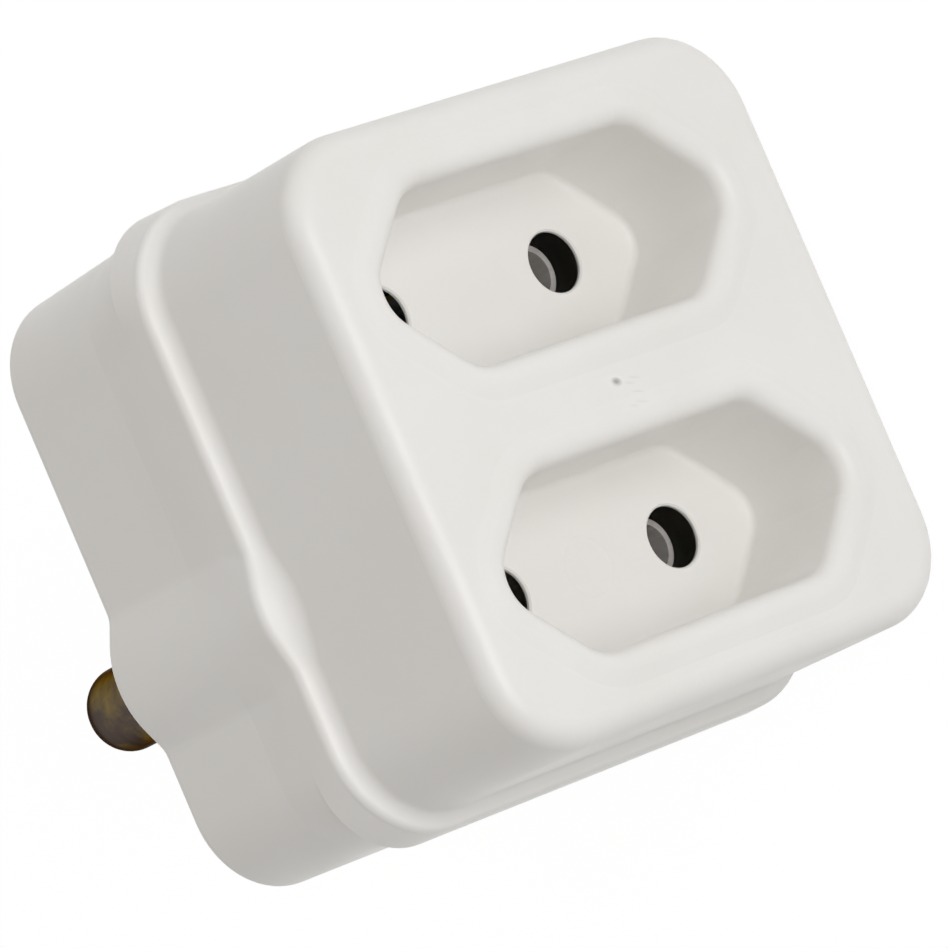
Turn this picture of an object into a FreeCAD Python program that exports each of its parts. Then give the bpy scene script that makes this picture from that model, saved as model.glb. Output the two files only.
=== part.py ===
import FreeCAD, Part
import math
import os

# A two-way wall adapter: a moulded cube with two flat two-pin sockets on the front
# and three round plug pins on the back. All sizes are in millimetres.
# X runs across the two sockets, Y runs into the wall, Z points up, towards the earth pin.
# The origin is the centre of the mating face, which meets the wall outlet at Y = 0.

# Front cover
cover_width = 49.7
cover_height = 49.3
cover_corner = 7.4
cover_edge_round = 2.0
cover_exposed_depth = 18.2
cover_skirt = 3.0
cover_wall = 2.0
front_plate = 2.2
skirt_clearance = 0.05

# Plug housing
body_depth = 39.4
rim_outset = 1.3
rim_depth = 3.6
rim_corner = 7.1
rim_land = 1.0
rim_taper_up = 0.3
rim_front_round = 0.8
root_length = 5.0
root_step_across = 0.6
body_inset = 0.95
body_corner = 7.2
body_taper_across = 0.35
body_taper_up = 0.9
body_edge_round = 1.2
end_depth = 1.4
housing_wall = 2.2
rear_plate = 3.0
bulge_width_at_rim = 9.6
bulge_height_at_rim = 1.0
bulge_width_behind = 11.2
bulge_height_behind = 1.4
bulge_height_at_back = 1.9
bulge_crest_radius = 8.0
bulge_crease_radius = 2.0

# Socket wells
well_pitch = 23.3
well_lift = 0.7
well_flat_length = 24.6
well_height = 14.6
well_depth = 11.3
well_draft = 0.15
well_corner = 4.0
well_tip_round = 3.2
well_wall = 1.6
well_floor = 1.8
well_floor_round = 0.6
lip_round = 1.4
collar_width = 3.0
collar_slope_width = 1.2
collar_height = 0.25

# Pin holes of the sockets
hole_pitch = 19.0
hole_radius = 2.55
hole_edge = 0.15
hole_land = 0.4

# Plug pins: a line and neutral pair and a longer, thicker earth pin
pin_pitch = 19.05
earth_distance = 22.2
pins_across = -6.0
supply_pin_radius = 2.54
supply_pin_length = 14.9
earth_pin_radius = 3.53
earth_pin_length = 19.8
supply_nose_round = 2.0
earth_nose_round = 2.7
pin_clearance = 0.05
pin_relief = 0.9
pin_seat_step = 0.4
pin_collar_width = 1.3
pin_collar_depth = 1.6
pin_stem_radius = 1.5
pin_rivet_width = 0.8
pin_rivet_depth = 0.6

# Contacts and strips
sleeve_bore = 2.05
sleeve_wall = 0.5
sleeve_slot = 0.8
sleeve_collar_width = 1.05
sleeve_collar_depth = 0.6
sleeve_swage_width = 0.5
sleeve_swage_depth = 0.5
sleeve_end_gap = 1.4
sleeve_slot_end = 2.0
strip_thickness = 0.8
strip_half_width = 4.1
tab_length = 2.2
leg_width = 4.6
leg_end = 2.9
bend_radius = 0.5
strip_hole_clearance = 0.05
spring_thickness = 0.45
spring_length = 3.2
spring_gap_half_angle = 32.0
spring_clearance = 0.05

# Contact carrier
carrier_thickness = 2.0
carrier_clearance = 0.3
carrier_pocket = 1.2
carrier_pocket_clearance = 0.4
strip_slot_clearance = 0.3

# Screws and pillars
pillar_inset = 6.15
pillar_radius = 3.2
pillar_rib = 1.4
screw_radius = 1.45
screw_length = 16.0
screw_head_radius = 2.8
screw_head_depth = 1.9
screw_recess_depth = 2.8
screw_recess_clearance = 0.3
screw_hole_clearance = 0.25
screw_thread_clearance = 0.02
screw_point = 1.6
pilot_spare = 1.5
screw_slot_width = 0.8
screw_slot_depth = 0.9
boss_wall = 1.3

# Levels along Y that several pieces share
front_face = -body_depth
rim_front = front_face + cover_exposed_depth
rim_back = rim_front + rim_depth
skirt_end = rim_front + cover_skirt
floor_front = front_face + well_depth
floor_back = floor_front + well_floor
plate_inside = -rear_plate
leg_back = plate_inside - pin_collar_depth
leg_front = leg_back - strip_thickness
carrier_back = leg_front - pin_rivet_depth - carrier_clearance
carrier_front = carrier_back - carrier_thickness
strip_front = carrier_front - strip_thickness

# Centres in the X-Z plane
well_centres = [(-well_pitch / 2, well_lift), (well_pitch / 2, well_lift)]
upper_hole_z = well_lift + hole_pitch / 2
lower_hole_z = well_lift - hole_pitch / 2
earth_place = (pins_across, earth_distance / 2)
line_place = (pins_across + pin_pitch / 2, -earth_distance / 2)
neutral_place = (pins_across - pin_pitch / 2, -earth_distance / 2)
pillar_x = cover_width / 2 - pillar_inset
pillar_z = cover_height / 2 - pillar_inset
screw_places = [(-pillar_x, pillar_z), (pillar_x, -pillar_z)]
rest_places = [(pillar_x, pillar_z), (-pillar_x, -pillar_z)]
sleeve_radius = sleeve_bore + sleeve_wall
sleeve_front = floor_back + sleeve_end_gap
sleeve_collar_front = strip_front - sleeve_collar_depth
pillar_rib_reach = cover_corner - cover_wall / 2 - (cover_corner - pillar_inset) * math.sqrt(2)
screw_seat = -screw_recess_depth
body_width = cover_width + 2 * (rim_outset - body_inset)
body_height = cover_height + 2 * (rim_outset - body_inset)
rim_back_height = cover_height + 2 * (rim_outset - rim_taper_up)
cavity_width = body_width - 2 * housing_wall
cavity_height = body_height - 2 * housing_wall
back_width = cavity_width - 2 * body_taper_across
back_height = cavity_height - 2 * body_taper_up
hole_places = []
for centre_x, centre_z in well_centres:
    hole_places.append((centre_x, upper_hole_z))
    hole_places.append((centre_x, lower_hole_z))


def rounded_wire(corners, radii):
    """Closed wire through corner points, each rounded by its own radius, or sharp where that is 0."""
    count = len(corners)
    starts = []
    ends = []
    arcs = []
    for index in range(count):
        corner = corners[index]
        radius = radii[index]
        to_before = (corners[index - 1] - corner).normalize()
        to_after = (corners[(index + 1) % count] - corner).normalize()
        half_angle = to_before.getAngle(to_after) / 2
        setback = radius / math.tan(half_angle)
        start = corner + to_before * setback
        end = corner + to_after * setback
        starts.append(start)
        ends.append(end)
        arcs.append(None)
        if radius > 0:
            bisector = (to_before + to_after).normalize()
            middle = corner + bisector * (radius / math.sin(half_angle) - radius)
            arcs[index] = Part.Arc(start, middle, end).toShape()
    edges = []
    for index in range(count):
        if arcs[index] is not None:
            edges.append(arcs[index])
        edges.append(Part.LineSegment(ends[index], starts[(index + 1) % count]).toShape())
    return Part.Wire(edges)


def outline_at(points, radii, y):
    """Rounded wire through points (x, z) in the plane Y = y."""
    return rounded_wire([FreeCAD.Vector(x, y, z) for x, z in points], radii)


def rectangle_outline(width, height, corner, y):
    """Rounded rectangle centred on the Y axis."""
    half_width = width / 2
    half_height = height / 2
    points = [
        (-half_width, -half_height),
        (half_width, -half_height),
        (half_width, half_height),
        (-half_width, half_height),
    ]
    return outline_at(points, [corner] * 4, y)


def bulge_crest_lift(half_span, rise):
    """Height of the unrounded crest whose rounded top stands at the wanted rise."""
    lift = rise
    for step in range(40):
        slope = math.atan2(lift, half_span)
        lift = rise + bulge_crest_radius * (1 / math.cos(slope) - 1)
    return lift


def bulged_outline(width, height, corner, bulge_span, bulge_rise, y):
    """Rounded rectangle whose top side swells out in a soft wave above the earth pin.

    It starts in the middle of the straight lower side.
    """
    half_width = width / 2
    half_height = height / 2
    half_span = bulge_span / 2
    crest = bulge_crest_lift(half_span, bulge_rise)
    points = [
        (0, -half_height),
        (half_width, -half_height),
        (half_width, half_height),
        (pins_across + half_span, half_height),
        (pins_across, half_height + crest),
        (pins_across - half_span, half_height),
        (-half_width, half_height),
        (-half_width, -half_height),
    ]
    crease = bulge_crease_radius
    radii = [0, corner, corner, crease, bulge_crest_radius, crease, corner, corner]
    return outline_at(points, radii, y)


def well_outline(centre, grow, y):
    """Long hexagon with rounded corners, standing on end; grow widens it on every side."""
    half_height = well_height / 2 + grow
    half_flat = well_flat_length / 2 + grow * math.tan(math.radians(22.5))
    tip = half_flat + half_height
    x, z = centre
    points = [
        (x, z - tip),
        (x + half_height, z - half_flat),
        (x + half_height, z + half_flat),
        (x, z + tip),
        (x - half_height, z + half_flat),
        (x - half_height, z - half_flat),
    ]
    side = well_corner + grow
    end = well_tip_round + grow
    return outline_at(points, [end, side, side, end, side, side], y)


def loft(first, last):
    """Solid between two outlines of equal make, with straight sides."""
    return Part.makeLoft([first, last], True, True)


def extrude(outline, depth):
    """Solid from a flat outline, grown along Y."""
    return Part.Face(outline).extrude(FreeCAD.Vector(0, depth, 0))


def rod(place, radius, start, end):
    """Round bar along Y between two levels."""
    base = FreeCAD.Vector(place[0], start, place[1])
    return Part.makeCylinder(radius, end - start, base, FreeCAD.Vector(0, 1, 0))


def tapered_rod(place, start_radius, end_radius, start, end):
    """Round bar along Y whose radius changes evenly."""
    base = FreeCAD.Vector(place[0], start, place[1])
    return Part.makeCone(start_radius, end_radius, end - start, base, FreeCAD.Vector(0, 1, 0))


def block(across, along, up):
    """Box from its low and high limits along X, Y and Z."""
    size = (across[1] - across[0], along[1] - along[0], up[1] - up[0])
    return Part.makeBox(*size, FreeCAD.Vector(across[0], along[0], up[0]))


def turned(place, section, angle=360):
    """Body turned about the line along Y through the place, from a section of (radius, y) points."""
    corners = [FreeCAD.Vector(place[0] + radius, y, place[1]) for radius, y in section]
    face = Part.Face(Part.makePolygon(corners + [corners[0]]))
    axis_point = FreeCAD.Vector(place[0], 0, place[1])
    return face.revolve(axis_point, FreeCAD.Vector(0, 1, 0), angle)


def edges_at(shape, level):
    """Edges that lie wholly in the plane Y = level."""
    found = []
    for edge in shape.Edges:
        box = edge.BoundBox
        if abs(box.YMin - level) < 1e-4 and abs(box.YMax - level) < 1e-4:
            found.append(edge)
    return found


def cover_shell():
    """Outer box of the cover with a soft front edge, hollowed to its wall, open at the back."""
    front = rectangle_outline(cover_width, cover_height, cover_corner, front_face)
    box = extrude(front, cover_exposed_depth + cover_skirt)
    box = box.makeFillet(cover_edge_round, edges_at(box, front_face))
    hollow_width = cover_width - 2 * cover_wall
    hollow_height = cover_height - 2 * cover_wall
    plate_back = front_face + front_plate
    inner = rectangle_outline(hollow_width, hollow_height, cover_corner - cover_wall, plate_back)
    return box.cut(extrude(inner, skirt_end - plate_back))


def well_collar(centre):
    """Low raised band round a well mouth, sloping down to the front face."""
    top = well_outline(centre, collar_width - collar_slope_width, front_face - collar_height)
    foot = well_outline(centre, collar_width, front_face)
    return loft(top, foot)


def well_tub(centre):
    """Walls and floor of one well, behind the front plate."""
    mouth = well_outline(centre, well_wall, front_face + front_plate / 2)
    floor = well_outline(centre, well_wall - well_draft, floor_back)
    return loft(mouth, floor)


def well_hollow(centre):
    """Tapered space that takes the body of a flat plug, rounded where it meets its floor."""
    mouth = well_outline(centre, 0, front_face - collar_height)
    floor = well_outline(centre, -well_draft, floor_front)
    hollow = loft(mouth, floor)
    return hollow.makeFillet(well_floor_round, edges_at(hollow, floor_front))


def pin_hole(place):
    """Hole for one plug pin, with a broken front edge and a short land that flares out behind."""
    land_end = floor_front + hole_land
    flare = hole_radius + floor_back - land_end
    hole = rod(place, hole_radius, floor_front, floor_back)
    edge = tapered_rod(place, hole_radius + hole_edge, hole_radius, floor_front, floor_front + hole_edge)
    return hole.fuse(edge).fuse(tapered_rod(place, hole_radius, flare, land_end, floor_back))


def pillar(place):
    """Corner pillar that presses the contact carrier home, with a rib into the cover's corner."""
    root = front_face + front_plate / 2
    post = rod(place, pillar_radius, root, carrier_front)
    rib = block((0, pillar_rib_reach), (root, rim_front), (-pillar_rib / 2, pillar_rib / 2))
    turn = math.degrees(math.atan2(math.copysign(1, place[1]), math.copysign(1, place[0])))
    rib.rotate(FreeCAD.Vector(0, 0, 0), FreeCAD.Vector(0, 1, 0), -turn)
    rib.translate(FreeCAD.Vector(place[0], 0, place[1]))
    return post.fuse(rib)


def front_cover():
    """Cover with two wells, their pin holes, and four corner pillars.

    The wells' lips and the crests of the bands round them are rounded alike.
    """
    cover = cover_shell()
    for centre in well_centres:
        cover = cover.fuse(well_collar(centre))
        cover = cover.fuse(well_tub(centre))
    for place in screw_places + rest_places:
        cover = cover.fuse(pillar(place))
    for centre in well_centres:
        cover = cover.cut(well_hollow(centre))
    cover = cover.removeSplitter()
    cover = cover.makeFillet(lip_round, edges_at(cover, front_face - collar_height))
    for place in hole_places:
        cover = cover.cut(pin_hole(place))
    pilot_end = screw_seat - screw_length - pilot_spare
    for place in screw_places:
        cover = cover.cut(rod(place, screw_radius + screw_thread_clearance, pilot_end, carrier_front))
    return cover.removeSplitter()


def body_outline(share, y):
    """Outline of the body behind the rim, with a share of its full taper."""
    width = body_width - 2 * body_taper_across * share
    height = body_height - 2 * body_taper_up * share
    rise = bulge_height_behind + (bulge_height_at_back - bulge_height_behind) * share
    return bulged_outline(width, height, body_corner, bulge_width_behind, rise, y)


def housing_rim():
    """Ledge round the cover, whose corners tighten towards the back."""
    width = cover_width + 2 * rim_outset
    height = cover_height + 2 * rim_outset
    corner = cover_corner + rim_outset
    rise = bulge_height_at_rim
    land = extrude(bulged_outline(width, height, corner, bulge_width_at_rim, rise, rim_front), rim_land)
    land = land.makeFillet(rim_front_round, edges_at(land, rim_front))
    front = bulged_outline(width, height, corner, bulge_width_at_rim, rise, rim_front + rim_land)
    back = bulged_outline(width, rim_back_height, rim_corner, bulge_width_behind, rise, rim_back)
    return land.fuse(loft(front, back))


def housing_shell():
    """Rim, sloping root and tapering body of the plug housing, with the swelling above the earth pin."""
    root_end = rim_back + root_length
    root_share = -root_length / rim_back
    root_width = body_width + 2 * (body_inset - root_step_across)
    root_front = bulged_outline(
        root_width, rim_back_height, body_corner, bulge_width_behind, bulge_height_at_rim, rim_back
    )
    root = loft(root_front, body_outline(root_share, root_end))
    body = loft(body_outline(root_share, root_end), body_outline(1, -end_depth))
    end = extrude(body_outline(1, -end_depth), end_depth)
    end = end.makeFillet(body_edge_round, edges_at(end, 0))
    return housing_rim().fuse(root).fuse(body).fuse(end)


def housing_hollow():
    """Seat for the cover's skirt and the tapering space behind it."""
    fit = 2 * skirt_clearance
    seat = rectangle_outline(cover_width + fit, cover_height + fit, cover_corner + skirt_clearance, rim_front)
    inner_corner = body_corner - housing_wall
    front = rectangle_outline(cavity_width, cavity_height, inner_corner, skirt_end)
    back = rectangle_outline(back_width, back_height, inner_corner, plate_inside)
    return extrude(seat, cover_skirt).fuse(loft(front, back))


def plug_housing():
    """Back half of the casing, with pin holes, carrier rests and sunk screw seats."""
    housing = housing_shell().cut(housing_hollow())
    screw_hole = screw_radius + screw_hole_clearance
    screw_recess = screw_head_radius + screw_recess_clearance
    for place in screw_places:
        housing = housing.fuse(rod(place, screw_recess + boss_wall, carrier_back, plate_inside))
    for place in rest_places:
        housing = housing.fuse(rod(place, pillar_radius, carrier_back, plate_inside))
    for place in screw_places:
        housing = housing.cut(rod(place, screw_hole, carrier_back, screw_seat))
        housing = housing.cut(rod(place, screw_recess, screw_seat, 0))
    pin_hole_growth = pin_seat_step + pin_clearance
    relief_radius = supply_pin_radius + pin_collar_width + pin_relief
    for place in (line_place, neutral_place):
        housing = housing.cut(rod(place, relief_radius, carrier_back, plate_inside))
        housing = housing.cut(rod(place, supply_pin_radius + pin_hole_growth, plate_inside, 0))
    housing = housing.cut(rod(earth_place, earth_pin_radius + pin_hole_growth, plate_inside, 0))
    return housing.removeSplitter()


def rounded_nose(pin, tip, radius):
    """Dome the free end of a pin."""
    return pin.makeFillet(radius, edges_at(pin, tip))


def supply_pin(place):
    """Line or neutral pin with a seat in the housing plate, a collar and a stem riveted to its strip."""
    seat_radius = supply_pin_radius + pin_seat_step
    collar_radius = supply_pin_radius + pin_collar_width
    rivet_radius = pin_stem_radius + pin_rivet_width
    pin = turned(place, [
        (0, leg_front - pin_rivet_depth),
        (rivet_radius, leg_front - pin_rivet_depth),
        (rivet_radius, leg_front),
        (pin_stem_radius, leg_front),
        (pin_stem_radius, leg_back),
        (collar_radius, leg_back),
        (collar_radius, plate_inside),
        (seat_radius, plate_inside),
        (seat_radius, 0),
        (supply_pin_radius, 0),
        (supply_pin_radius, supply_pin_length),
        (0, supply_pin_length),
    ])
    return rounded_nose(pin, supply_pin_length, supply_nose_round)


def earth_pin():
    """Dummy earth pin with its seat and collar, held between the housing plate and the carrier's post."""
    seat_radius = earth_pin_radius + pin_seat_step
    collar_radius = earth_pin_radius + pin_collar_width
    pin = turned(earth_place, [
        (0, leg_back),
        (collar_radius, leg_back),
        (collar_radius, plate_inside),
        (seat_radius, plate_inside),
        (seat_radius, 0),
        (earth_pin_radius, 0),
        (earth_pin_radius, earth_pin_length),
        (0, earth_pin_length),
    ])
    return rounded_nose(pin, earth_pin_length, earth_nose_round)


def contact_sleeve(place):
    """Split sleeve that grips a plug pin, with a collar on the strip and an end swaged behind it."""
    end = carrier_front + sleeve_swage_depth
    collar_radius = sleeve_radius + sleeve_collar_width
    swage_radius = sleeve_radius + sleeve_swage_width
    sleeve = turned(place, [
        (sleeve_bore, sleeve_front),
        (sleeve_radius, sleeve_front),
        (sleeve_radius, sleeve_collar_front),
        (collar_radius, sleeve_collar_front),
        (collar_radius, strip_front),
        (sleeve_radius, strip_front),
        (sleeve_radius, carrier_front),
        (swage_radius, carrier_front),
        (sleeve_radius, end),
        (sleeve_bore, end),
    ])
    slot_half = sleeve_slot / 2
    slot = block(
        (place[0] - sleeve_radius - 1, place[0] + sleeve_radius + 1),
        (sleeve_front, sleeve_collar_front - sleeve_slot_end),
        (place[1] - slot_half, place[1] + slot_half),
    )
    return sleeve.cut(slot)


def grip_spring(place):
    """Open steel ring, midway along a sleeve, that presses its two halves together."""
    start = (sleeve_front + sleeve_collar_front - spring_length) / 2
    inner = sleeve_radius + spring_clearance
    outer = inner + spring_thickness
    section = [(inner, start), (outer, start), (outer, start + spring_length), (inner, start + spring_length)]
    ring = turned(place, section, 360 - 2 * spring_gap_half_angle)
    ring.rotate(FreeCAD.Vector(place[0], 0, place[1]), FreeCAD.Vector(0, 1, 0), spring_gap_half_angle)
    return ring


def strip_bar(left, right, height):
    """Flat bar with round ends in front of the carrier."""
    points = [
        (left, height - strip_half_width),
        (right, height - strip_half_width),
        (right, height + strip_half_width),
        (left, height + strip_half_width),
    ]
    nearly_round = strip_half_width * 0.98
    return extrude(outline_at(points, [nearly_round] * 4, strip_front), strip_thickness)


def strip_leg(x, bar_height, pin_height):
    """Tab below a bar, bent back through the carrier and along its rear face to a pin."""
    top = bar_height - strip_half_width / 2
    low = bar_height - strip_half_width - tab_length
    high = low + strip_thickness
    outer = bend_radius + strip_thickness
    if pin_height < low:
        end = pin_height - leg_end
        path = [
            (strip_front, top), (strip_front, low), (leg_front, low), (leg_front, end),
            (leg_back, end), (leg_back, high), (carrier_front, high), (carrier_front, top),
        ]
        radii = [0, outer, bend_radius, 0, 0, outer, bend_radius, 0]
    else:
        end = pin_height + leg_end
        path = [
            (strip_front, top), (strip_front, low), (leg_back, low), (leg_back, end),
            (leg_front, end), (leg_front, high), (carrier_front, high), (carrier_front, top),
        ]
        radii = [0, outer, outer, 0, 0, bend_radius, bend_radius, 0]
    corners = [FreeCAD.Vector(x - leg_width / 2, y, z) for y, z in path]
    return Part.Face(rounded_wire(corners, radii)).extrude(FreeCAD.Vector(leg_width, 0, 0))


def contact_strip(left, bar_height, pin_place):
    """One-piece strip that joins two sleeves to a plug pin."""
    right = well_pitch / 2 + strip_half_width
    strip = strip_bar(left, right, bar_height).fuse(strip_leg(pin_place[0], bar_height, pin_place[1]))
    for centre in well_centres:
        hole = rod((centre[0], bar_height), sleeve_radius + strip_hole_clearance, strip_front, carrier_front)
        strip = strip.cut(hole)
    stem_hole = rod(pin_place, pin_stem_radius + strip_hole_clearance, leg_front, leg_back)
    return strip.cut(stem_hole).removeSplitter()


def riser_slot(x, bar_height):
    """Slot through the carrier for the bent leg of a strip."""
    low = bar_height - strip_half_width - tab_length
    gap = strip_slot_clearance
    return block(
        (x - leg_width / 2 - gap, x + leg_width / 2 + gap),
        (carrier_front, carrier_back),
        (low - gap, low + strip_thickness + bend_radius + gap),
    )


def contact_carrier():
    """Insulating plate between the two strips, with pockets for the sleeve ends and an earth post."""
    width = back_width - 2 * carrier_clearance
    height = back_height - 2 * carrier_clearance
    outline = rectangle_outline(width, height, body_corner - housing_wall, carrier_front)
    carrier = extrude(outline, carrier_thickness)
    carrier = carrier.fuse(rod(earth_place, earth_pin_radius, carrier_back, leg_back))
    pocket_radius = sleeve_radius + sleeve_swage_width + carrier_pocket_clearance
    for place in hole_places:
        carrier = carrier.cut(rod(place, pocket_radius, carrier_front, carrier_front + carrier_pocket))
    for place in screw_places:
        carrier = carrier.cut(rod(place, screw_radius + screw_hole_clearance, carrier_front, carrier_back))
    carrier = carrier.cut(riser_slot(line_place[0], upper_hole_z))
    carrier = carrier.cut(riser_slot(neutral_place[0], lower_hole_z))
    return carrier.removeSplitter()


def casing_screw(place):
    """Slotted pan-head screw that enters from the mating face."""
    tip = screw_seat - screw_length
    head_top = screw_seat + screw_head_depth
    screw = turned(place, [
        (0, tip),
        (screw_radius, tip + screw_point),
        (screw_radius, screw_seat),
        (screw_head_radius, screw_seat),
        (screw_head_radius, head_top - screw_head_depth / 3),
        (screw_head_radius * 0.75, head_top),
        (0, head_top),
    ])
    slot = block(
        (place[0] - screw_head_radius, place[0] + screw_head_radius),
        (head_top - screw_slot_depth, head_top),
        (place[1] - screw_slot_width / 2, place[1] + screw_slot_width / 2),
    )
    return screw.cut(slot)


def save(name, *solids):
    """Write one piece, or a group of like pieces, to its own file."""
    shape = solids[0]
    if len(solids) > 1:
        shape = Part.makeCompound(list(solids))
    shape.exportStep("parts/" + name + ".step")
    print(name, len(shape.Solids), round(shape.Volume, 1), shape.isValid())


os.makedirs("parts", exist_ok=True)
save("front_cover", front_cover())
save("plug_housing", plug_housing())
save("contact_carrier", contact_carrier())
save("line_pin", supply_pin(line_place))
save("neutral_pin", supply_pin(neutral_place))
save("earth_pin", earth_pin())
save("line_strip", contact_strip(-well_pitch / 2 - strip_half_width, upper_hole_z, line_place))
save("neutral_strip", contact_strip(neutral_place[0] - leg_width / 2, lower_hole_z, neutral_place))
for column, side in enumerate(("left", "right")):
    for height, level in ((upper_hole_z, "upper"), (lower_hole_z, "lower")):
        place = (well_centres[column][0], height)
        save("contact_sleeve_" + level + "_" + side, contact_sleeve(place))
        save("grip_spring_" + level + "_" + side, grip_spring(place))
save("casing_screws", *[casing_screw(place) for place in screw_places])
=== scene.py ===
import bpy
import math
import numpy as np
from mathutils import Matrix, Vector


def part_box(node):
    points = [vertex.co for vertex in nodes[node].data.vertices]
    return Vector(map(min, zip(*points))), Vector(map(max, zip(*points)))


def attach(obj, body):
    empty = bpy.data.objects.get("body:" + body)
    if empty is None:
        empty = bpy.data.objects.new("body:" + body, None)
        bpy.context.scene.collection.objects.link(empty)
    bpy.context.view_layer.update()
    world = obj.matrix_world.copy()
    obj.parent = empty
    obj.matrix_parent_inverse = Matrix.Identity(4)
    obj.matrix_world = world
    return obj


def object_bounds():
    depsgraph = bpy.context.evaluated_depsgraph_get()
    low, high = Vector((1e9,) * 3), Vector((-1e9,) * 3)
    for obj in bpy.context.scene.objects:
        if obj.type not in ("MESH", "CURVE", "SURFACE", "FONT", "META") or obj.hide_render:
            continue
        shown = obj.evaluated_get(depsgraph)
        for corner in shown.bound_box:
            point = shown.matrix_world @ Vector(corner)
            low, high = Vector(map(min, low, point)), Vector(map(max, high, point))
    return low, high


# Two-way wall adapter: white moulded cube, two flat sockets in front, round plug pins behind.
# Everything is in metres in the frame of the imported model; mm turns drawing sizes into metres.

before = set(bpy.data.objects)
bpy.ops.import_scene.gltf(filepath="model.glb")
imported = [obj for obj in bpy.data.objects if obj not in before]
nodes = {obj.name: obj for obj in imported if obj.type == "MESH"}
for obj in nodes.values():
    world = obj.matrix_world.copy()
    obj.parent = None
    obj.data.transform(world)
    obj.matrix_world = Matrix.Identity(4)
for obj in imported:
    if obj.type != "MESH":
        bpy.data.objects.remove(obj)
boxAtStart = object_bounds()
mm = 0.001
print("frame loaded:", len(nodes), "nodes")


# Small helpers for node materials

def newMaterial(name):
    material = bpy.data.materials.new(name)
    material.use_nodes = True
    tree = material.node_tree
    return material, tree, tree.nodes["Principled BSDF"]


def objectPoints(tree, scale=(1, 1, 1)):
    # object coordinates in metres, stretched by scale
    coordinates = tree.nodes.new("ShaderNodeTexCoord")
    mapping = tree.nodes.new("ShaderNodeMapping")
    mapping.inputs["Scale"].default_value = scale
    tree.links.new(coordinates.outputs["Object"], mapping.inputs["Vector"])
    return mapping.outputs["Vector"]


def noise(tree, points, size, detail, roughness=0.5):
    # noise whose blots are about size metres across
    texture = tree.nodes.new("ShaderNodeTexNoise")
    texture.inputs["Scale"].default_value = 1 / size
    texture.inputs["Detail"].default_value = detail
    texture.inputs["Roughness"].default_value = roughness
    tree.links.new(points, texture.inputs["Vector"])
    return texture.outputs["Fac"]


def ramp(tree, value, places, colours):
    # fades from the first to the second colour between two places of the value's range
    node = tree.nodes.new("ShaderNodeValToRGB")
    for element, place, colour in zip(node.color_ramp.elements, places, colours):
        element.position = place
        element.color = (*colour, 1)
    tree.links.new(value, node.inputs["Fac"])
    return node.outputs["Color"]


def spread(tree, value, low, high, fromLow=0.3, fromHigh=0.7):
    # value stretched from its own range to the range low to high
    node = tree.nodes.new("ShaderNodeMapRange")
    node.inputs["From Min"].default_value = fromLow
    node.inputs["From Max"].default_value = fromHigh
    node.inputs["To Min"].default_value = low
    node.inputs["To Max"].default_value = high
    tree.links.new(value, node.inputs["Value"])
    return node.outputs["Result"]


def bump(tree, shader, height, distance, before=None):
    # fine relief of the given height, added to the relief in before
    node = tree.nodes.new("ShaderNodeBump")
    node.inputs["Distance"].default_value = distance
    node.inputs["Strength"].default_value = 1.0
    tree.links.new(height, node.inputs["Height"])
    if before is not None:
        tree.links.new(before, node.inputs["Normal"])
    tree.links.new(node.outputs["Normal"], shader.inputs["Normal"])
    return node.outputs["Normal"]


def dress(names, material):
    for name in names:
        slots = nodes[name].data.materials
        slots.clear()
        slots.append(material)


# Moulded casing

# each noise is given by its size, its detail and, where it isn't 0.5, its roughness

casing = {
    "colours": ((0.875, 0.859, 0.830), (0.895, 0.882, 0.857)),      # slightly dull and clean
    "tintPlaces": (0.35, 0.62),
    "refraction": 1.49,
    "roughnessRange": (0.34, 0.44),
    "blots": (14 * mm, 4),
    "sheenBlots": (5 * mm, 2),
    "flow": (6 * mm, 1),      # slow waves left by the mould's flow
    "flowHeight": 0.05 * mm,
    "grain": (0.35 * mm, 2),
    "grainHeight": 0.004 * mm,
}


def mouldedPlastic(name, colours):
    material, tree, shader = newMaterial(name)
    points = objectPoints(tree)
    tint = ramp(tree, noise(tree, points, *casing["blots"]), casing["tintPlaces"], colours)
    tree.links.new(tint, shader.inputs["Base Color"])
    shine = spread(tree, noise(tree, points, *casing["sheenBlots"]), *casing["roughnessRange"])
    tree.links.new(shine, shader.inputs["Roughness"])
    shader.inputs["IOR"].default_value = casing["refraction"]
    waves = bump(tree, shader, noise(tree, points, *casing["flow"]), casing["flowHeight"])
    bump(tree, shader, noise(tree, points, *casing["grain"]), casing["grainHeight"], waves)
    return material


coverPlastic = mouldedPlastic("coverPlastic", casing["colours"])
housingPlastic = mouldedPlastic("housingPlastic", casing["colours"])
dress(["front_cover"], coverPlastic)
dress(["plug_housing"], housingPlastic)

# the carrier's near-black colours are painted shade: they stand for the dark inside of the casing seen
# through the pin holes
carrier = {
    "colours": ((0.012, 0.012, 0.011), (0.020, 0.019, 0.018)),
    "tintPlaces": (0.38, 0.6),
    "roughness": 0.6,
    "fibres": (0.8 * mm, 6, 0.65),
    "fibreHeight": 0.01 * mm,
}


def shadeDarkCarrierPlastic():
    # painted shade: near-black colours varied by a fine noise
    material, tree, shader = newMaterial("shadeDarkCarrierPlastic")
    fibres = noise(tree, objectPoints(tree), *carrier["fibres"])
    tint = ramp(tree, fibres, carrier["tintPlaces"], carrier["colours"])
    tree.links.new(tint, shader.inputs["Base Color"])
    shader.inputs["Roughness"].default_value = carrier["roughness"]
    bump(tree, shader, fibres, carrier["fibreHeight"])
    return material


dress(["contact_carrier"], shadeDarkCarrierPlastic())
print("plastics done")


# New pieces of the casing: surfaces worked out on grids

sharpAngle = math.radians(40)


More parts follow.
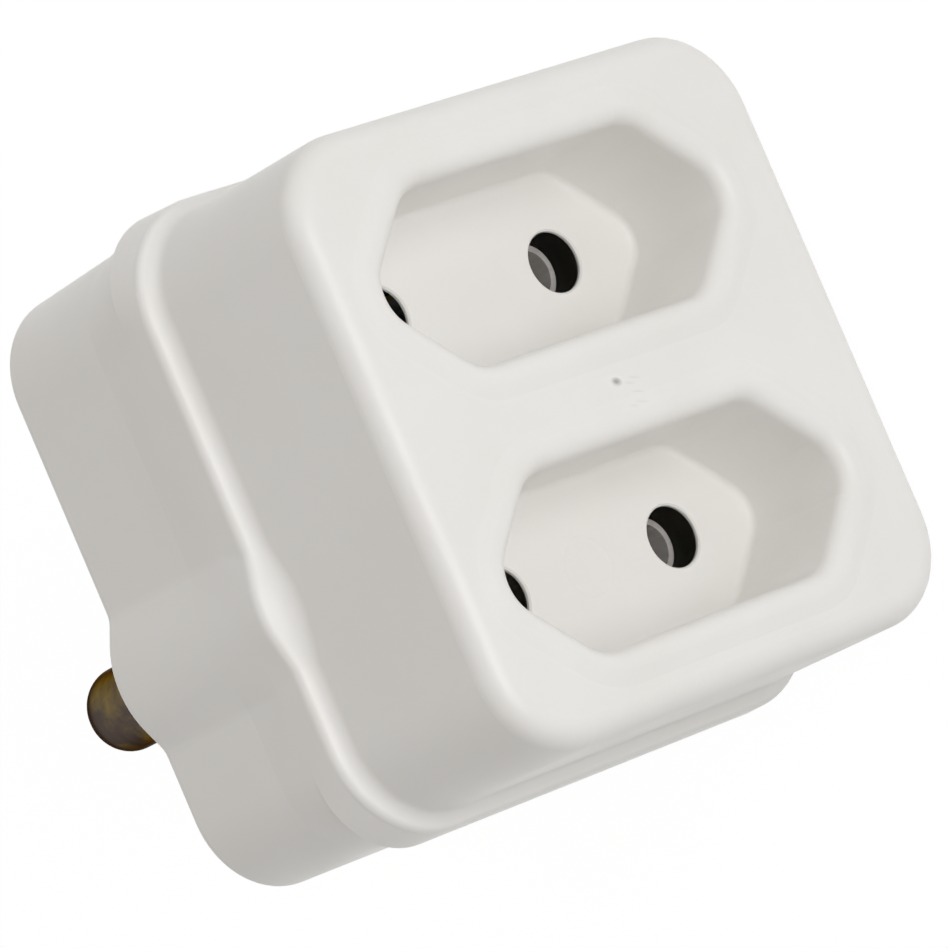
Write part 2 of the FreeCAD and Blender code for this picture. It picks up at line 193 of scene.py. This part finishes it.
def closedMesh(name, points, capped=False):
    # skin over a grid of points (row, place in row, xyz): each row closes on itself, and the
    # first and last row either join each other or, if capped, are closed by one face each
    rows, ring = points.shape[:2]
    row = np.arange(rows - 1 if capped else rows)[:, None]
    column = np.arange(ring)[None, :]
    nextRow = (row + 1) % rows
    nextColumn = (column + 1) % ring
    quads = np.stack((
        row * ring + column,
        row * ring + nextColumn,
        nextRow * ring + nextColumn,
        nextRow * ring + column,
    ), -1).reshape(-1, 4)
    faces = quads.tolist()
    if capped:
        faces.append(list(range(ring))[::-1])
        faces.append(list(range((rows - 1) * ring, rows * ring)))
    places = points.reshape(-1, 3)
    mesh = bpy.data.meshes.new(name)
    mesh.from_pydata(places.tolist(), [], faces)
    mesh.polygons.foreach_set("use_smooth", np.ones(len(mesh.polygons), bool))
    mesh.update()
    corners = places[quads]
    normals = np.cross(corners[:, 2] - corners[:, 0], corners[:, 3] - corners[:, 1])
    if (normals * corners[:, 0]).sum() < 0:      # a negative volume: the faces look inwards
        mesh.flip_normals()
    mesh.set_sharp_from_angle(angle=sharpAngle)
    piece = bpy.data.objects.new(name, mesh)
    bpy.context.scene.collection.objects.link(piece)
    return piece


def finishPiece(piece, material):
    piece.data.materials.append(material)
    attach(piece, "root")


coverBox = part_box("front_cover")
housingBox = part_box("plug_housing")
frontLevel = -39.4 * mm      # y of the front face
floorLevel = -28.1 * mm      # y of the wells' floors
sunk = 0.001 * mm      # how deep the rim of a low mark lies in the face that carries it

ledgeBead = {
    "cornerRadius": 7.4 * mm,
    "outset": 1.3 * mm,      # how far the ledge stands out from the cover
    "edgeRound": 0.8 * mm,
    "meetingAngle": 28,      # degrees round that edge at which the bead begins
    "height": 1.2 * mm,
    "heightShare": 0.9,      # part of the bulge's rise added to that height
    "bulgeCentre": -6.0 * mm,
    "bulgeHalfSpan": 4.8 * mm,
    "bulgeRise": 1.0 * mm,
    "bulgeRadius": 8.0 * mm,
    "buried": 0.02 * mm,
    "cornerPoints": 28,
    "sidePoints": 160,
    "curvePoints": 16,
}


def roundedLoop(halfWidth, halfHeight, corner, cornerPoints, sidePoints):
    # four quarter circles, each followed by the straight side to the next one;
    # gives the points and their outward directions in X and Z
    share = np.linspace(0, 1, sidePoints + 2)[1:-1, None]
    reach = np.array((halfWidth - corner, halfHeight - corner))
    points = []
    normals = []
    for quarter in range(4):
        turn = (np.linspace(0, 1, cornerPoints) + quarter) * math.pi / 2
        away = np.stack((np.cos(turn), np.sin(turn)), 1)
        middle = (quarter + 0.5) * math.pi / 2
        after = middle + math.pi / 2
        arc = reach * np.sign((math.cos(middle), math.sin(middle))) + corner * away
        start = reach * np.sign((math.cos(after), math.sin(after))) + corner * away[-1]
        points += [arc, arc[-1] * (1 - share) + start * share]
        normals += [away, np.repeat(away[-1:], sidePoints, 0)]
    return np.concatenate(points), np.concatenate(normals)


def bulgeLift(x):
    # rise of the ledge's outline above the earth pin: a round crest, and on each side the straight
    # flank that touches it and ends at the half span
    span = ledgeBead["bulgeHalfSpan"]
    radius = ledgeBead["bulgeRadius"]
    depth = radius - ledgeBead["bulgeRise"]      # of the crest's centre below the plain outline
    slope = math.asin(radius / math.hypot(span, depth)) - math.atan2(depth, span)
    across = np.abs(x - ledgeBead["bulgeCentre"])
    crest = np.sqrt(np.maximum(radius ** 2 - across ** 2, 0)) - depth
    flank = np.maximum(math.tan(slope) * (span - across), 0)
    return np.where(across < radius * math.sin(slope), crest, flank)


def makeLedgeBead():
    # section: a curve with three guide points, (1-s)^2 foot + 2 s (1-s) knee + s^2 top; the foot lies
    # on the ledge's round edge, the top on the cover's side, and the knee where their slopes meet
    loop, away = roundedLoop(
        coverBox[1].x, coverBox[1].z,
        ledgeBead["cornerRadius"], ledgeBead["cornerPoints"], ledgeBead["sidePoints"],
    )
    topSide = np.isclose(away[:, 1], 1)
    lift = np.where(topSide, bulgeLift(loop[:, 0]), 0)[:, None]
    meeting = math.radians(ledgeBead["meetingAngle"])
    footOut = ledgeBead["outset"] + lift - ledgeBead["edgeRound"] * (1 - math.sin(meeting))
    footAhead = ledgeBead["edgeRound"] * (math.cos(meeting) - 1) * np.ones_like(lift)
    kneeAhead = footAhead + footOut * math.tan(meeting)
    topAhead = ledgeBead["height"] + ledgeBead["heightShare"] * lift
    s = np.linspace(0, 1, ledgeBead["curvePoints"])[None, :]
    out = (1 - s) ** 2 * footOut
    ahead = (1 - s) ** 2 * footAhead + 2 * s * (1 - s) * kneeAhead + s ** 2 * topAhead
    inside = -ledgeBead["buried"] * np.ones_like(lift)
    below = footAhead - ledgeBead["buried"]
    out = np.concatenate((out, inside, inside, footOut), 1)
    ahead = np.concatenate((ahead, topAhead, below, below), 1)
    points = np.stack((
        loop[:, :1] + away[:, :1] * out,
        housingBox[0].y - ahead,
        loop[:, 1:] + away[:, 1:] * out,
    ), -1)
    finishPiece(closedMesh("ledge_bead", points), housingPlastic)


makeLedgeBead()

wellCollar = {      # slope of the raised bands between the wells, from x = 0
    "foot": 1.35 * mm,
    "slope": 1.2 * mm,
    "height": 0.25 * mm,
}

gateMark = {
    "centre": (0.0, 1.15 * mm),
    "along": (-0.26, -0.966),      # the way the mark and its scratches lie, in X and Z
    "footRadius": 0.55 * mm,
    "stretch": 1.6,
    "rimRadius": 0.30 * mm,
    "rimWidth": 0.11 * mm,
    "rimHeight": 0.07 * mm,
    "skinHeight": 0.004 * mm,
    "innerShare": 0.02,      # radius of the innermost ring of points, as a part of the foot's
    # colour of the painted shade in the pit, towards which the mark's colour darkens
    "pitShadeColour": (0.40, 0.39, 0.37),
    "tintPlaces": (0.12, 0.70),
    "roughness": 0.45,
    "ringPoints": 48,
    "rowPoints": 24,
}


def gateShadedPlastic():
    # casing plastic with painted shade: its colour darkens towards the pit of the gate mark
    material, tree, shader = newMaterial("gateShadedPlastic")
    along = gateMark["along"]
    coordinates = tree.nodes.new("ShaderNodeTexCoord")
    placed = tree.nodes.new("ShaderNodeMapping")
    placed.vector_type = "TEXTURE"
    placed.inputs["Location"].default_value = (gateMark["centre"][0], frontLevel, gateMark["centre"][1])
    placed.inputs["Rotation"].default_value = (0, math.atan2(along[0], along[1]), 0)
    placed.inputs["Scale"].default_value = (1, 1, gateMark["stretch"])
    tree.links.new(coordinates.outputs["Object"], placed.inputs["Vector"])
    distance = tree.nodes.new("ShaderNodeVectorMath")
    distance.operation = "LENGTH"
    tree.links.new(placed.outputs["Vector"], distance.inputs[0])
    farness = spread(tree, distance.outputs["Value"], 0, 1, 0, gateMark["footRadius"])
    tint = ramp(tree, farness, gateMark["tintPlaces"], (gateMark["pitShadeColour"], casing["colours"][1]))
    tree.links.new(tint, shader.inputs["Base Color"])
    shader.inputs["Roughness"].default_value = gateMark["roughness"]
    shader.inputs["IOR"].default_value = casing["refraction"]
    return material


def onFront(alongWay, acrossWay, height):
    # point of the front face given along and across the mark, raised by height; past the foot
    # of a well's collar the face itself rises in a straight slope
    along = gateMark["along"]
    x = gateMark["centre"][0] + along[0] * alongWay - along[1] * acrossWay
    rise = wellCollar["height"] * np.clip((np.abs(x) - wellCollar["foot"]) / wellCollar["slope"], 0, 1)
    return np.stack((
        x,
        frontLevel - rise - height,
        gateMark["centre"][1] + along[1] * alongWay + along[0] * acrossWay,
    ), -1)


def makeGateMark():
    # turned about the Y direction and stretched along the mark: the height is a bell curve round the
    # rim radius on top of a thin skin, and sinks into the face at the foot
    share = np.linspace(1, gateMark["innerShare"], gateMark["rowPoints"])[:, None]
    turn = np.linspace(0, 2 * math.pi, gateMark["ringPoints"], endpoint=False)[None, :]
    radius = share * gateMark["footRadius"]
    bell = np.exp(-((radius - gateMark["rimRadius"]) / gateMark["rimWidth"]) ** 2)
    skin = gateMark["skinHeight"] * (1 - 1.5 * share ** 8)
    height = gateMark["rimHeight"] * bell * (1 - share ** 4) + skin + 0 * turn
    points = onFront(gateMark["stretch"] * radius * np.cos(turn), radius * np.sin(turn), height)
    finishPiece(closedMesh("gate_mark", points, True), gateShadedPlastic())


makeGateMark()

gateScratches = {
    "places": [      # middle along, middle across the mark, and length, in mm
        (1.3, -0.05, 1.5),
        (1.9, 0.4, 1.4),
        (2.0, -0.7, 1.6),
        (2.0, -1.55, 1.7),
        (1.2, -1.9, 1.1),
    ],
    "width": 0.24 * mm,
    "endWidthShare": 0.15,
    "endTrim": 0.02,      # part of the length that is left off at each end
    "height": 0.035 * mm,
    "buried": 0.006 * mm,
    "colours": ((0.845, 0.83, 0.80), (0.875, 0.862, 0.838)),
    "rowPoints": 24,
    "topPoints": 9,
}


def makeGateScratches():
    # low slivers: width and height both follow a half wave along the length, and the height a
    # squared cosine across it
    scratchPlastic = mouldedPlastic("scratchPlastic", gateScratches["colours"])
    trim = gateScratches["endTrim"]
    way = np.linspace(trim, 1 - trim, gateScratches["rowPoints"])[:, None]
    side = np.linspace(-1, 1, gateScratches["topPoints"])[None, :]
    swell = np.sin(math.pi * way)
    endShare = gateScratches["endWidthShare"]
    halfWidth = gateScratches["width"] * (endShare + (1 - endShare) * swell) / 2
    top = gateScratches["height"] * swell * np.cos(math.pi / 2 * side) ** 2 - sunk
    under = -gateScratches["buried"] + 0 * way * side
    for number, (middle, across, length) in enumerate(gateScratches["places"], 1):
        alongWay = (middle + length * (way - 0.5)) * mm + 0 * side
        acrossWay = across * mm + halfWidth * side
        points = onFront(
            np.concatenate((alongWay, alongWay[:, ::-1]), 1),
            np.concatenate((acrossWay, acrossWay[:, ::-1]), 1),
            np.concatenate((top, under), 1),
        )
        sliver = closedMesh("gate_scratch_%d" % number, points, True)
        finishPiece(sliver, scratchPlastic)


makeGateScratches()

ejectorRing = {
    "centre": (-11.65 * mm, 0.9 * mm),
    "radius": 2.4 * mm,
    "width": 0.50 * mm,
    "height": 0.030 * mm,
    "ringPoints": 96,
    "rowPoints": 13,
}


def makeEjectorRing():
    # low round ridge left by a mould pin: its height is a squared cosine over the ring's width
    turn = np.linspace(0, 2 * math.pi, ejectorRing["ringPoints"], endpoint=False)[:, None]
    across = np.linspace(-1, 1, ejectorRing["rowPoints"])[None, :]
    radius = ejectorRing["radius"] + across * ejectorRing["width"] / 2
    height = ejectorRing["height"] * np.cos(math.pi / 2 * across) ** 2 - sunk
    under = -ejectorRing["height"] / 2 * np.ones_like(height)
    radius = np.concatenate((radius, radius[:, ::-1]), 1)
    points = np.stack((
        ejectorRing["centre"][0] + radius * np.cos(turn),
        floorLevel - np.concatenate((height, under), 1) + 0 * turn,
        ejectorRing["centre"][1] + radius * np.sin(turn),
    ), -1)
    finishPiece(closedMesh("ejector_ring", points), coverPlastic)


makeEjectorRing()
print("casing details done")


# Metals

pinMetal = {
    "colours": ((0.085, 0.068, 0.060), (0.25, 0.18, 0.055)),      # painted dark reflection and a dim brass: both darkened to stand for the dark surroundings the pins mirror
    "tintPlaces": (0.40, 0.72),
    # dark edge tint: painted dark reflection at grazing angles
    "edgeTint": (0.20, 0.18, 0.16),
    "roughnessRange": (0.42, 0.25),
    "blots": (5 * mm, 5, 0.6),
    "turningScale": 312.5,      # of the wave texture: turning marks 1 mm apart round the pin
    "turningWaver": 0.4,
    "turningHeight": 0.006 * mm,
}

sheetStreaks = {"noise": (0.6 * mm, 4, 0.6), "tintPlaces": (0.35, 0.65), "height": 0.004 * mm}

sheets = {
    "sleevePlating": {
        "colours": ((0.62, 0.59, 0.56), (0.74, 0.71, 0.68)),
        "roughnessRange": (0.50, 0.60),
        "stretch": (1, 0.25, 1),
        "metallic": 0.35,
    },
    "contactBrass": {
        "colours": ((0.60, 0.43, 0.18), (0.76, 0.58, 0.26)),
        "roughnessRange": (0.28, 0.40),
        "stretch": (0.25, 1, 1),
        "metallic": 1.0,
    },
    "springSteel": {
        "colours": ((0.26, 0.27, 0.31), (0.40, 0.41, 0.44)),
        "roughnessRange": (0.26, 0.38),
        "stretch": (1, 0.2, 1),
        "metallic": 1.0,
    },
    "screwSteel": {
        "colours": ((0.50, 0.51, 0.53), (0.66, 0.67, 0.68)),
        "roughnessRange": (0.24, 0.36),
        "stretch": (1, 1, 1),
        "metallic": 1.0,
    },
}


# brass painted dark: its colour holds the dark reflection of the surroundings, mixed by random blots
def darkReflectionBrass():
    material, tree, shader = newMaterial("darkReflectionBrass")
    points = objectPoints(tree)
    blots = noise(tree, points, *pinMetal["blots"])
    tint = ramp(tree, blots, pinMetal["tintPlaces"], pinMetal["colours"])
    tree.links.new(tint, shader.inputs["Base Color"])
    shader.inputs["Metallic"].default_value = 1.0
    shader.inputs["Specular Tint"].default_value = (*pinMetal["edgeTint"], 1)
    tree.links.new(spread(tree, blots, *pinMetal["roughnessRange"]), shader.inputs["Roughness"])
    rings = tree.nodes.new("ShaderNodeTexWave")
    rings.bands_direction = "Y"
    rings.inputs["Scale"].default_value = pinMetal["turningScale"]
    rings.inputs["Distortion"].default_value = pinMetal["turningWaver"]
    tree.links.new(points, rings.inputs["Vector"])
    bump(tree, shader, rings.outputs["Fac"], pinMetal["turningHeight"])
    return material


def sheetMetal(name):
    # metal with fine streaks, longest where the stretch is smallest
    settings = sheets[name]
    material, tree, shader = newMaterial(name)
    streaks = noise(tree, objectPoints(tree, settings["stretch"]), *sheetStreaks["noise"])
    tint = ramp(tree, streaks, sheetStreaks["tintPlaces"], settings["colours"])
    tree.links.new(tint, shader.inputs["Base Color"])
    shader.inputs["Metallic"].default_value = settings["metallic"]
    tree.links.new(spread(tree, streaks, *settings["roughnessRange"]), shader.inputs["Roughness"])
    bump(tree, shader, streaks, sheetStreaks["height"])
    return material


dress(["earth_pin", "line_pin", "neutral_pin"], darkReflectionBrass())
dress([name for name in nodes if name.startswith("contact_sleeve")], sheetMetal("sleevePlating"))
dress([name for name in nodes if name.endswith("_strip")], sheetMetal("contactBrass"))
dress([name for name in nodes if name.startswith("grip_spring")], sheetMetal("springSteel"))
dress(["casing_screws"], sheetMetal("screwSteel"))
print("metals done")


# Floor, light and camera

studio = {
    "floorSize": 4.0,
    "floorColour": (0.93, 0.93, 0.93),
    "floorRoughness": 0.9,
    "floorGlow": 0.94,
    "floorShade": 0.12,      # part of the floor's white that a shadow can take away
    "ambientColour": (1.0, 0.972, 0.935),
    "brightSide": (0.1, 0.97, 0.22),
    "brightAmbient": 0.60,
    "dimAmbient": 0.0,
    "keyAim": (0, -20 * mm, 0),
    "keyDistance": 1.1,
    "keySize": 0.9,
    "keys": {      # direction that each soft lamp shines from, and its watts
        "frontLamp": ((0.0, -0.96, 0.28), 6.05),
        "lowLamp": ((-0.6, -0.75, 0.3), 1.1),
        "topLamp": ((0.7, -0.4, 0.6), 2.0),
    },
}


def seenDirectly(tree):
    # 1 for what the camera sees, straight, mirrored or through glass,
    # and 0 for light on its way to the object
    path = tree.nodes.new("ShaderNodeLightPath")
    seen = path.outputs["Is Camera Ray"]
    for ray in ("Is Glossy Ray", "Is Transmission Ray"):
        either = tree.nodes.new("ShaderNodeMath")
        either.operation = "MAXIMUM"
        tree.links.new(seen, either.inputs[0])
        tree.links.new(path.outputs[ray], either.inputs[1])
        seen = either.outputs[0]
    return seen


def studioFloor(lowest):
    # flat sheet just under the object; it glows white where it is seen directly, apart from a part
    # that needs lamp light and so keeps the object's shadow
    half = studio["floorSize"] / 2
    mesh = bpy.data.meshes.new("studioFloor")
    corners = [(-half, -half, lowest), (half, -half, lowest), (half, half, lowest), (-half, half, lowest)]
    mesh.from_pydata(corners, [], [(0, 1, 2, 3)])
    floor = bpy.data.objects.new("studioFloor", mesh)
    bpy.context.scene.collection.objects.link(floor)
    material, tree, shader = newMaterial("floorWhite")
    shader.inputs["Base Color"].default_value = (*studio["floorColour"], 1)
    shader.inputs["Roughness"].default_value = studio["floorRoughness"]
    shader.inputs["Specular IOR Level"].default_value = 0.0
    glow = tree.nodes.new("ShaderNodeEmission")
    glow.inputs["Strength"].default_value = studio["floorGlow"]
    shade = tree.nodes.new("ShaderNodeBsdfDiffuse")
    shade.inputs["Color"].default_value = (studio["floorShade"],) * 3 + (1,)
    both = tree.nodes.new("ShaderNodeAddShader")
    tree.links.new(glow.outputs[0], both.inputs[0])
    tree.links.new(shade.outputs[0], both.inputs[1])
    either = tree.nodes.new("ShaderNodeMixShader")
    tree.links.new(seenDirectly(tree), either.inputs[0])
    tree.links.new(shader.outputs[0], either.inputs[1])
    tree.links.new(both.outputs[0], either.inputs[2])
    tree.links.new(either.outputs[0], tree.nodes["Material Output"].inputs["Surface"])
    mesh.materials.append(material)


def studioWorld():
    # even white where it is seen directly, a soft slope from a bright to a dim side for the light
    world = bpy.data.worlds.new("studioWorld")
    world.use_nodes = True
    tree = world.node_tree
    background = tree.nodes["Background"]
    tint = tree.nodes.new("ShaderNodeMixRGB")
    tint.inputs["Color1"].default_value = (*studio["ambientColour"], 1)
    tint.inputs["Color2"].default_value = (1, 1, 1, 1)
    tree.links.new(seenDirectly(tree), tint.inputs["Fac"])
    tree.links.new(tint.outputs["Color"], background.inputs["Color"])
    coordinates = tree.nodes.new("ShaderNodeTexCoord")
    facing = tree.nodes.new("ShaderNodeVectorMath")
    facing.operation = "DOT_PRODUCT"
    facing.inputs[1].default_value = Vector(studio["brightSide"]).normalized()
    tree.links.new(coordinates.outputs["Generated"], facing.inputs[0])
    slope = spread(
        tree, facing.outputs["Value"], studio["dimAmbient"], studio["brightAmbient"], -1.0, 1.0
    )
    level = spread(tree, seenDirectly(tree), 0.0, 1.0, 0.0, 1.0)
    tree.links.new(slope, level.node.inputs["To Min"])
    tree.links.new(level, background.inputs["Strength"])
    bpy.context.scene.world = world


def areaLight(name, direction, power):
    aim = Vector(studio["keyAim"])
    place = aim + Vector(direction).normalized() * studio["keyDistance"]
    data = bpy.data.lights.new(name, "AREA")
    data.shape = "DISK"
    data.size = studio["keySize"]
    data.energy = power
    light = bpy.data.objects.new(name, data)
    light.location = place
    light.rotation_mode = "QUATERNION"
    light.rotation_quaternion = (aim - place).to_track_quat("-Z", "Y")
    bpy.context.scene.collection.objects.link(light)


photoCamera = {
    "aim": (-0.92 * mm, -18.0 * mm, -1.33 * mm),
    "distance": 574.5 * mm,
    "azimuth": -5.589,      # degrees, 0 looks along +Y
    "elevation": 42.399,
    "roll": -109.475,
    "lens": 279.65,
    "sensor": 36.0,
    "clipStart": 0.01,
    "clipEnd": 20,
}


def makeCamera():
    azimuth = math.radians(photoCamera["azimuth"])
    elevation = math.radians(photoCamera["elevation"])
    roll = math.radians(photoCamera["roll"])
    ahead = Vector((
        -math.sin(azimuth) * math.cos(elevation),
        math.cos(azimuth) * math.cos(elevation),
        -math.sin(elevation),
    ))
    levelRight = ahead.cross(Vector((0, 0, 1))).normalized()
    levelUp = levelRight.cross(ahead)
    right = levelRight * math.cos(roll) + levelUp * math.sin(roll)
    up = right.cross(ahead)
    data = bpy.data.cameras.new("photoCamera")
    data.lens = photoCamera["lens"]
    data.sensor_width = photoCamera["sensor"]
    data.clip_start = photoCamera["clipStart"]
    data.clip_end = photoCamera["clipEnd"]
    camera = bpy.data.objects.new("photoCamera", data)
    turn = Matrix((right, up, -ahead)).transposed().to_4x4()
    place = Vector(photoCamera["aim"]) - ahead * photoCamera["distance"]
    camera.matrix_world = Matrix.Translation(place) @ turn
    bpy.context.scene.collection.objects.link(camera)
    bpy.context.scene.camera = camera


studioFloor(boxAtStart[0].z)
studioWorld()
for lampName, (direction, power) in studio["keys"].items():
    areaLight(lampName, direction, power)
makeCamera()
bpy.context.scene.view_settings.view_transform = "Standard"
print("studio done")
